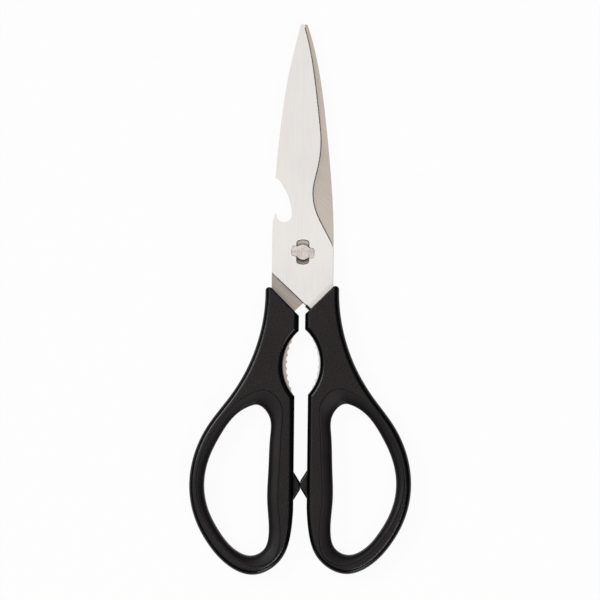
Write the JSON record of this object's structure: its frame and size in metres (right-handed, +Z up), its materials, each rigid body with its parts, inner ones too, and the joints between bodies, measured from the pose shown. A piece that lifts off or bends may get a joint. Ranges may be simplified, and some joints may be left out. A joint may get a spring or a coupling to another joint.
{
  "type": "kitchen shears",
  "caption": "Take-apart kitchen shears: steel blades on a lugged pivot stud, bottle opener notch, toothed jaw and black looped handles.",
  "frame": {"origin": "centre of the bounding box's base, with the closed shears lying flat on a table", "axes": "+Y along the shears towards the blade tips, +X towards the right handle, +Z up from the table, out of the front blade's face"},
  "size_m": [0.0866, 0.215, 0.012],
  "materials": {
    "front_blade_steel": "satin, finely ground",
    "rear_blade_steel": "satin, ground across the blade",
    "stud_steel": "satin, turned",
    "handle_plastic": "fine spark texture on the flats",
    "liner_rubber": "smooth satin"
  },
  "bodies": {
    "rear_half": {"rear_blade": "rear_blade_steel", "pivot_stud": "stud_steel", "left_handle": "handle_plastic", "left_grip_liner": "liner_rubber"},
    "front_half": {"front_blade": "front_blade_steel", "right_handle": "handle_plastic", "right_grip_liner": "liner_rubber"}
  },
  "joints": [
    {"name": "pivot", "type": "hinge", "parent": "rear_half", "child": "front_half", "pos_m": [0, 0.0186, 0.006], "axis": [0, 0, 1], "range_deg": [0, 82]}
  ]
}
